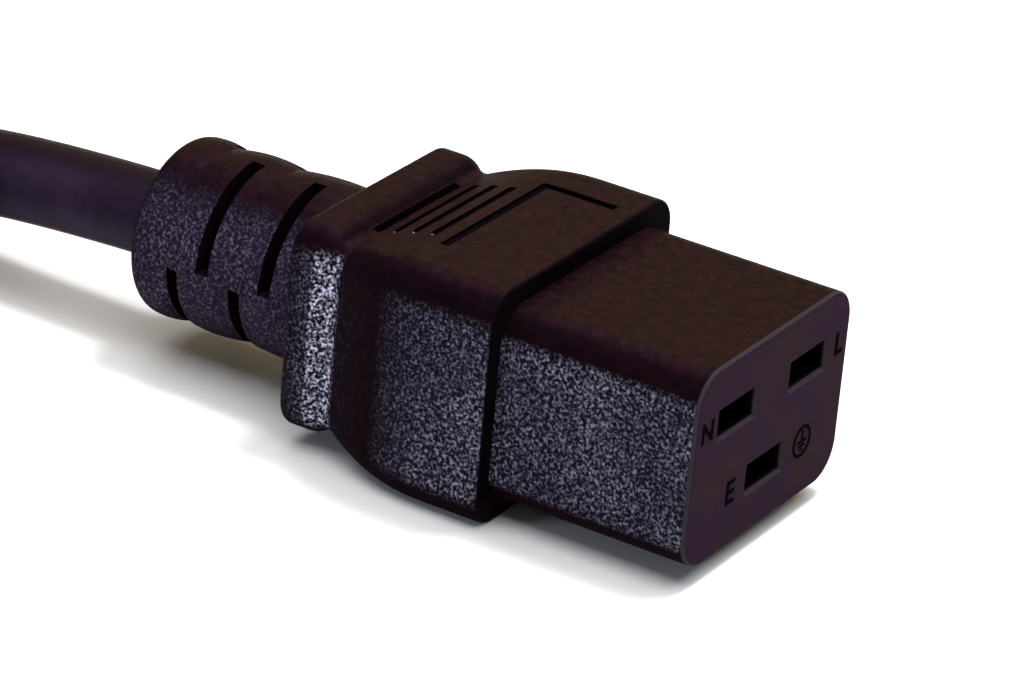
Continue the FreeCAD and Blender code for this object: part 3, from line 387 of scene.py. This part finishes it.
def moulded_black(name, base, zones, side_start, inside, cuts, plug_at=None):
    """Black moulded plastic, of a base colour, with glints painted on its grain's tips.

    zones lists places along X in millimetres with the strength of the glints painted on the sides
    there.  They begin where a side faces along Y by side_start, and walls nearer the middle than
    inside have none.  cuts are the boxes of the lines moulded into the top; with them given, the
    lines, the collar's step and the walls of the boot's slots are dull and painted dark as their
    shade.  A part of the plug, which is turned half round, has its places counted from plug_at.
    """
    material, nodes, links = new_material(name)
    shader = nodes["Principled BSDF"]
    grain = nodes.new("ShaderNodeGroup")
    grain.node_tree = spark_grain
    grain.inputs["Scale"].default_value = GRAIN_SCALE
    source = nodes.new("ShaderNodeTexCoord")
    spot = source.outputs["Object"]
    if plug_at:
        for operation, numbers in (("SUBTRACT", plug_at), ("MULTIPLY", (-1, -1, 1))):
            step = nodes.new("ShaderNodeVectorMath")
            step.operation = operation
            step.inputs[1].default_value = numbers
            links.new(spot, step.inputs[0])
            spot = step.outputs["Vector"]
    place, reach = sizes_of(nodes, links, spot)
    _, facing = sizes_of(nodes, links, source.outputs["Normal"])
    along = between(nodes, links, place[0], zones[0][0] / 1000, zones[-1][0] / 1000)
    along.node.interpolation_type = "LINEAR"
    strength = nodes.new("ShaderNodeValToRGB")
    ramp, span = strength.color_ramp, zones[-1][0] - zones[0][0]
    for number, (where, level) in enumerate(zones):
        at = (where - zones[0][0]) / span
        stop = ramp.elements[number] if number < 2 else ramp.elements.new(at)
        stop.position = at
        stop.color = (level, level, level, 1)
    links.new(along, strength.inputs["Fac"])
    broad = noise_over(nodes, links, source.outputs["Object"], 110)
    on_sides = combined(
        nodes, links, "MULTIPLY", between(nodes, links, facing[1], side_start, 0.999),
        between(nodes, links, reach[1], inside - 0.0015, inside),
        between(nodes, links, reach[2], 0.0079, 0.0098, 1.0, 0.0))
    # Glints are painted on the grain's tips on the sides, as highlights.
    painted_glint = combined(
        nodes, links, "MULTIPLY", grain.outputs["Painted glints"], strength.outputs["Color"], on_sides,
        between(nodes, links, broad, 0.3, 0.7, 0.7, 1.3))
    # The satin is mottled, and painted browner, as warm light, on what faces straight up or down.
    mottle = noise_over(nodes, links, source.outputs["Object"], 1000, 3.0)
    mottle_and_top_light = combined(nodes, links, "MULTIPLY", between(nodes, links, mottle, 0.3, 0.7),
                        between(nodes, links, facing[2], 0.75, 0.97, 0.25))
    skin = mixed(nodes, links, mottle_and_top_light, [0.5 * part for part in base],
                 (base[0] * 1.5 + 0.003, base[1] * 1.5 + 0.0008, base[2] * 1.3))
    # The sides are painted a bluish light between the painted glints, and the boot's sides a
    # lighter violet sheen.
    painted_side_light = combined(nodes, links, "MULTIPLY", on_sides,
                       between(nodes, links, strength.outputs["Color"], 0.01, 0.12))
    painted_boot_sheen = combined(nodes, links, "MULTIPLY", on_sides,
                       between(nodes, links, place[0], *BOOT_FRONT, 1.0, 0.0))
    for mask, tint in ((painted_side_light, (0.0040, 0.0030, 0.0090)), (painted_boot_sheen, (0.0125, 0.0066, 0.0185)),
                       (painted_glint, PAINTED_GLINT)):
        skin = mixed(nodes, links, mask, skin, tint)
    rough = combined(nodes, links, "MAXIMUM",
                     between(nodes, links, facing[0], 0.75, 0.97, 0.5, 0.8),
                     between(nodes, links, facing[1], 0.2, 0.75, 0.5, 0.9))
    if cuts:
        recess_shade = combined(nodes, links, "MULTIPLY", inside_boxes(nodes, links, place, cuts),
                        between(nodes, links, place[2], *TOP))
        collar = combined(nodes, links, "MULTIPLY", between(nodes, links, facing[0], 0.8, 0.95),
                          between(nodes, links, place[0], *COLLAR_STEP),
                          between(nodes, links, place[2], -0.0100, -0.0085))
        across, radius = nodes.new("ShaderNodeVectorMath"), nodes.new("ShaderNodeVectorMath")
        across.operation, radius.operation = "MULTIPLY", "LENGTH"
        across.inputs[1].default_value = (0, 1, 1)
        links.new(spot, across.inputs[0])
        links.new(across.outputs["Vector"], radius.inputs[0])
        slotted = combined(nodes, links, "MULTIPLY",
                           between(nodes, links, radius.outputs["Value"], *SLOT_DEPTH, 1.0, 0.0),
                           between(nodes, links, place[0], *SLOTS_REAR),
                           between(nodes, links, place[0], *SLOTS_FRONT, 1.0, 0.0))
        recess_shade = combined(nodes, links, "MAXIMUM", recess_shade, collar, slotted)
        # The lines, the collar's step and the slot walls are painted near black as their shade.
        skin = mixed(nodes, links, recess_shade, skin, (0.001, 0.0006, 0.001))
        rough = combined(nodes, links, "MAXIMUM", rough, recess_shade)
    links.new(skin, shader.inputs["Base Color"])
    links.new(rough, shader.inputs["Roughness"])
    bumped(nodes, links, shader, grain.outputs["Height"], GRAIN_DEPTH)
    shader.inputs["Specular IOR Level"].default_value = 0.05
    shader.inputs["Specular Tint"].default_value = (1.0, 0.44, 0.88, 1)
    return material


def dress(node, material):
    """Gives a CAD node its material."""
    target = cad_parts[node]
    target.data.materials.clear()
    target.data.materials.append(material)


# The lines on top of the barrel: four short ones across it, a longer one and one along its edge.
top_lines = [(-33.1 - 2.03 * number, 0.42, 0.0, 7.05) for number in range(4)]
top_lines += [(-30.7, 0.52, 0.25, 9.1), (-26.9, 4.0, 8.8, 0.52)]
PLUG_AT = (-0.1963, -0.0010, 0.01795)
for node, plug_at in (("overmould", None), ("plug_overmould", PLUG_AT)):
    pvc = moulded_black(node + "_pvc", (0.0050, 0.0014, 0.0034),
                    ((-66, 0.11), (-47, 0.09), (-44.6, 0.05), (-43.2, 0.06), (-42.8, 0.12),
                     (-42.1, 0.15), (-41.8, 0.10), (-41.5, 0.74), (-40.1, 0.88), (-39.4, 0.74),
                     (-38.7, 0.02), (-33.5, 0.0), (-27.5, 0.22), (-20, 0.27)),
                    0.45, 0.0045, top_lines, plug_at)
    dress(node, pvc)

# ---- Nose insert and plug carrier -------------------------------------------------------------
# The insert that holds the connector's contacts and the carrier of the plug's pins are moulded in
# rigid black nylon and locked into the overmoulds.  Both have the overmoulds' grain, with glints
# painted on the insert's sides, and the insert's mating face is satin, painted lighter as what it
# reflects.
nylon_black = moulded_black("nose_nylon", (0.0050, 0.0014, 0.0032), ((-22, 0.23), (0, 0.25)),
                            0.9, 0.013, [])
nodes, links = nylon_black.node_tree.nodes, nylon_black.node_tree.links
shader = nodes["Principled BSDF"]
source = nodes.new("ShaderNodeTexCoord")
place, reach = sizes_of(nodes, links, source.outputs["Object"])
_, facing = sizes_of(nodes, links, source.outputs["Normal"])
skin = shader.inputs["Base Color"].links[0].from_socket
rough = shader.inputs["Roughness"].links[0].from_socket
# The mating face is satin, painted in two lighter tints that run into each other, as what it
# reflects.
clouds = noise_over(nodes, links, source.outputs["Object"], 220)
face_reflection_tint = mixed(nodes, links, between(nodes, links, clouds, 0.35, 0.65),
                  (0.0190, 0.0088, 0.0125), (0.0165, 0.0066, 0.0195))
on_face = combined(nodes, links, "MULTIPLY",
                   between(nodes, links, place[0], -0.0004, -0.0002),
                   between(nodes, links, facing[0], 0.96, 0.99))
skin = mixed(nodes, links, on_face, skin, face_reflection_tint)
# The walls of the contact slots are painted dark as shade, and the rims of the face and slots are
# lighter: rubbed, and with a painted highlight.
slot_shade = combined(nodes, links, "MULTIPLY",
                    between(nodes, links, place[0], -0.0008, -0.0005, 1.0, 0.0),
                    between(nodes, links, reach[1], 0.0118, 0.0122, 1.0, 0.0),
                    between(nodes, links, reach[2], 0.0078, 0.0082, 1.0, 0.0))
skin = mixed(nodes, links, slot_shade, skin, (0.0007, 0.0005, 0.0008))
rim_highlight_and_rubbing = combined(nodes, links, "MULTIPLY",
                  between(nodes, links, place[0], -0.0005, -0.0003),
                  between(nodes, links, facing[0], 0.85, 0.99, 1.0, 0.0))
skin = mixed(nodes, links, rim_highlight_and_rubbing, skin, (0.030, 0.023, 0.031))
links.new(skin, shader.inputs["Base Color"])
links.new(combined(nodes, links, "MAXIMUM", rough, slot_shade), shader.inputs["Roughness"])
for node in ("nose_insert", "plug_carrier"):
    dress(node, nylon_black)

# ---- Pole marks -------------------------------------------------------------------------------
# The letters of the poles and the earth sign, moulded proud of the mating face beside the slots.
# They are dull and steep sided, and painted near black as the shade on them, darker than the satin
# round them.
bpy.ops.object.select_all(action="DESELECT")
upright = (math.radians(90), 0, math.radians(90))
PROUD, BOLDER = 0.00007, 0.00006
EARTH_ACROSS, EARTH_UP, RING_FLATNESS = 0.0069, -0.0040, 0.45
parts = []
for letter, across, height, cap in (("N", -0.0119, 0.0040, 0.0029),
                                    ("L", 0.0121, 0.0041, 0.0032),
                                    ("E", -0.0064, -0.0042, 0.0034)):
    bpy.ops.object.text_add(location=(0, across, height), rotation=upright)
    mark = bpy.context.active_object
    mark.data.body = letter
    mark.data.align_x, mark.data.align_y = "CENTER", "CENTER"
    mark.data.size, mark.data.extrude, mark.data.offset = cap, PROUD, BOLDER
    bpy.ops.object.convert(target="MESH")
    bpy.ops.object.transform_apply()
    parts.append(bpy.context.active_object)
    bpy.ops.object.select_all(action="DESELECT")
bpy.ops.mesh.primitive_torus_add(location=(0, EARTH_ACROSS, EARTH_UP), rotation=upright,
                                 major_radius=0.0015, minor_radius=0.00019,
                                 major_segments=48, minor_segments=8)
bpy.ops.object.transform_apply()
bpy.ops.object.mode_set(mode="EDIT")
bpy.ops.mesh.select_all(action="SELECT")
bpy.ops.transform.resize(value=(RING_FLATNESS, 1, 1), center_override=(0, 0, 0))
bpy.ops.object.mode_set(mode="OBJECT")
parts.append(bpy.context.active_object)
# The sign's stem and its three bars, each with its height on the face and its two sizes.
for height, wide, tall in ((-0.0034, 0.00026, 0.0011), (-0.0040, 0.0017, 0.00026),
                           (-0.00445, 0.0011, 0.00024), (-0.0049, 0.0005, 0.00022)):
    bpy.ops.object.select_all(action="DESELECT")
    bpy.ops.mesh.primitive_cube_add(size=1, location=(0, EARTH_ACROSS, height),
                                    scale=(2 * PROUD, wide, tall))
    bpy.ops.object.transform_apply()
    parts.append(bpy.context.active_object)
for part in parts:
    part.select_set(True)
bpy.context.view_layer.objects.active = parts[0]
bpy.ops.object.join()
pole_marks = bpy.context.active_object
pole_marks.name = "pole_marks"
bpy.ops.object.mode_set(mode="EDIT")
bpy.ops.mesh.select_all(action="SELECT")
bpy.ops.mesh.remove_doubles(threshold=0.000004)
bpy.ops.mesh.normals_make_consistent(inside=False)
bpy.ops.mesh.select_mode(type="EDGE")
bpy.ops.mesh.select_all(action="DESELECT")
bpy.ops.mesh.edges_select_sharp(sharpness=math.radians(60))
bpy.ops.mesh.bevel(offset=0.000018, segments=1, affect="EDGES", clamp_overlap=True)
bpy.ops.object.mode_set(mode="OBJECT")
bpy.ops.object.select_all(action="DESELECT")
mark_nylon, nodes, links = new_material("mark_nylon")
shader = nodes["Principled BSDF"]
source = nodes.new("ShaderNodeTexCoord")
# Their colour is painted shade, patchy at random.
mark_shade_patches = noise_over(nodes, links, source.outputs["Object"], 1500)
links.new(mixed(nodes, links, mark_shade_patches, (0.0006, 0.0003, 0.0006), (0.0022, 0.0010, 0.0020)),
          shader.inputs["Base Color"])
shader.inputs["Roughness"].default_value = 0.95
shader.inputs["Specular IOR Level"].default_value = 0.01
pole_marks.data.materials.append(mark_nylon)
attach(pole_marks, "root")

# ---- Line pips --------------------------------------------------------------------------------
# A small polished pip stands in the near end of each of the four lines on the barrel's top, where
# the tool's pins left their bright ends.  Each is a small ball, mostly sunk in the plastic.
FIRST_LINE_X, LINE_PITCH, PIPS_Y = -0.0331, 0.00203, -0.0071
PIP_RADIUS, PIP_SUNK = 0.00030, 0.00022
pips = []
for number, top in enumerate((0.01146, 0.01102, 0.01040, 0.00960)):
    bpy.ops.object.select_all(action="DESELECT")
    bpy.ops.mesh.primitive_uv_sphere_add(
        segments=24, ring_count=12, radius=PIP_RADIUS,
        location=(FIRST_LINE_X - LINE_PITCH * number, PIPS_Y, top - PIP_SUNK))
    bpy.ops.object.transform_apply()
    bpy.ops.object.shade_smooth_by_angle(angle=math.radians(40))
    pips.append(bpy.context.active_object)
for pip in pips:
    pip.select_set(True)
bpy.ops.object.join()
line_pips = bpy.context.active_object
line_pips.name = "line_pips"
bpy.ops.object.select_all(action="DESELECT")
pip_gloss, nodes, links = new_material("pip_gloss")
shader = nodes["Principled BSDF"]
source = nodes.new("ShaderNodeTexCoord")
scuffs = noise_over(nodes, links, source.outputs["Object"], 3000)
links.new(between(nodes, links, scuffs, 0.3, 0.7, 0.2, 0.35), shader.inputs["Roughness"])
shader.inputs["Base Color"].default_value = (0.006, 0.003, 0.005, 1)
line_pips.data.materials.append(pip_gloss)
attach(line_pips, "root")


# ---- Jacket -----------------------------------------------------------------------------------
# The cord's jacket is extruded PVC, smoother than the moulding, with a faint uneven sheen and a
# lighter painted sheen on its sides.  It runs into both boots, where the overmoulds grip it.
def spread_evenly(nodes, links, value, least, most):
    """Spreads a value from 0 to 1 evenly from the least to the most."""
    spread = nodes.new("ShaderNodeMapRange")
    spread.inputs["To Min"].default_value = least
    spread.inputs["To Max"].default_value = most
    links.new(value, spread.inputs["Value"])
    return spread.outputs["Result"]


def extruded(name, base, rough):
    """Extruded jacket or insulation, with a faint uneven sheen."""
    material, nodes, links = new_material(name)
    shader = nodes["Principled BSDF"]
    source = nodes.new("ShaderNodeTexCoord")
    noise = noise_over(nodes, links, source.outputs["Object"], 900, 4)
    links.new(spread_evenly(nodes, links, noise, rough - 0.06, rough + 0.1),
              shader.inputs["Roughness"])
    bumped(nodes, links, shader, noise, 0.00004)
    links.new(mixed(nodes, links, noise, base, [min(1, channel * 1.5) for channel in base]),
              shader.inputs["Base Color"])
    return material


jacket = extruded("jacket_pvc", (0.0040, 0.0018, 0.0042), 0.5)
nodes, links = jacket.node_tree.nodes, jacket.node_tree.links
shader = nodes["Principled BSDF"]
shader.inputs["Specular IOR Level"].default_value = 0.08
shader.inputs["Specular Tint"].default_value = (1.0, 0.55, 1.0, 1)
source = nodes.new("ShaderNodeTexCoord")
_, facing = sizes_of(nodes, links, source.outputs["Normal"])
# A cloudy sheen is painted lighter on what faces sideways.
cloud = noise_over(nodes, links, source.outputs["Object"], 230, 3.0)
painted_side_sheen = combined(nodes, links, "MULTIPLY", between(nodes, links, facing[1], 0.3, 0.95),
                 between(nodes, links, cloud, 0.25, 0.75, 0.45, 1.0))
links.new(mixed(nodes, links, painted_side_sheen, shader.inputs["Base Color"].links[0].from_socket,
                (0.027, 0.017, 0.037)), shader.inputs["Base Color"])
cord.data.materials.append(jacket)
for node in ("jacket_end", "plug_jacket_end"):
    dress(node, jacket)

# ---- Cores ------------------------------------------------------------------------------------
# Under the jacket lie three cores, their PVC insulation extruded in the usual colours: brown for
# line, blue for neutral and green for earth, here without its yellow stripe.
for pole, base in (("line", (0.16, 0.06, 0.025)), ("neutral", (0.03, 0.13, 0.5)),
                   ("earth", (0.08, 0.36, 0.06))):
    insulation = extruded("core_" + pole, base, 0.35)
    dress("core_" + pole, insulation)
    dress("plug_core_" + pole, insulation)

# ---- Rear caps --------------------------------------------------------------------------------
# Each end of the cord has a cap of natural nylon, hidden in the overmould, which closes the
# chambers of the insert or the carrier before the overmould is shot round it.
cap_nylon = extruded("cap_nylon", (0.55, 0.52, 0.44), 0.5)
for node in ("rear_cap", "plug_rear_cap"):
    dress(node, cap_nylon)


# ---- Metal ------------------------------------------------------------------------------------
# The contacts are folded from brass strip, and the pins are brass blades plated with nickel.  Both
# are crimped to the bare copper conductors.
def stamped(name, base, rough):
    """Stamped strip with fine rolling marks."""
    material, nodes, links = new_material(name)
    shader = nodes["Principled BSDF"]
    shader.inputs["Metallic"].default_value = 1.0
    source = nodes.new("ShaderNodeTexCoord")
    stretch = nodes.new("ShaderNodeMapping")
    stretch.inputs["Scale"].default_value = (200, 5000, 5000)
    links.new(source.outputs["Object"], stretch.inputs["Vector"])
    noise = noise_over(nodes, links, stretch.outputs["Vector"], 1, 3)
    links.new(spread_evenly(nodes, links, noise, rough - 0.08, rough + 0.12),
              shader.inputs["Roughness"])
    links.new(mixed(nodes, links, noise, base, [channel * 0.8 for channel in base]),
              shader.inputs["Base Color"])
    return material


brass = stamped("contact_brass", (0.78, 0.58, 0.28), 0.32)
nickel = stamped("pin_nickel", (0.70, 0.68, 0.64), 0.25)
copper = stamped("copper_strand", (0.80, 0.42, 0.26), 0.35)
for pole in ("line", "neutral", "earth"):
    dress("contact_" + pole, brass)
    dress("pin_" + pole, nickel)
    dress("conductor_" + pole, copper)
    dress("plug_conductor_" + pole, copper)

# ---- Table and lights -------------------------------------------------------------------------
# A white table under a large overhead light and a smaller key, with a cool light from the near
# left and a warm card behind.
TABLE = -0.01185
bpy.ops.object.select_all(action="DESELECT")
bpy.ops.mesh.primitive_plane_add(size=6, location=(0, 0, TABLE))
table = bpy.context.active_object
table.name = "table"
table_material, nodes, links = new_material("table_white")
shader = nodes["Principled BSDF"]
shader.inputs["Base Color"].default_value = (0.9, 0.9, 0.9, 1)
shader.inputs["Roughness"].default_value = 0.9
shader.inputs["Specular IOR Level"].default_value = 0.0
table.data.materials.append(table_material)


def area_light(name, place, target, width, height, power, colour):
    """A soft light that points at a place."""
    data = bpy.data.lights.new(name, "AREA")
    data.shape = "RECTANGLE"
    data.size, data.size_y = width, height
    data.energy = power
    data.color = colour
    light = bpy.data.objects.new(name, data)
    bpy.context.collection.objects.link(light)
    light.location = place
    towards = Vector(target) - Vector(place)
    light.rotation_euler = towards.to_track_quat("-Z", "Y").to_euler()


middle, white = (-0.04, 0, 0), (1.0, 1.0, 1.0)
area_light("key", (0.14, 0.20, 1.05), middle, 0.2, 0.2, 7, white)
area_light("overhead", (0.06, 0.0, 1.2), middle, 1.8, 1.8, 28, white)
area_light("near_fill", (-0.55, -0.85, 0.30), middle, 0.30, 0.30, 2, (0.72, 0.80, 1.0))
area_light("warm_card", (-0.62, 1.05, 0.62), middle, 1.2, 0.8, 2.4, (1.0, 0.60, 0.03))
world = bpy.data.worlds.new("studio")
bpy.context.scene.world = world
world.use_nodes = True
world.node_tree.nodes["Background"].inputs["Color"].default_value = (1, 1, 1, 1)
world.node_tree.nodes["Background"].inputs["Strength"].default_value = 0.16
bpy.context.scene.view_settings.view_transform = "Standard"
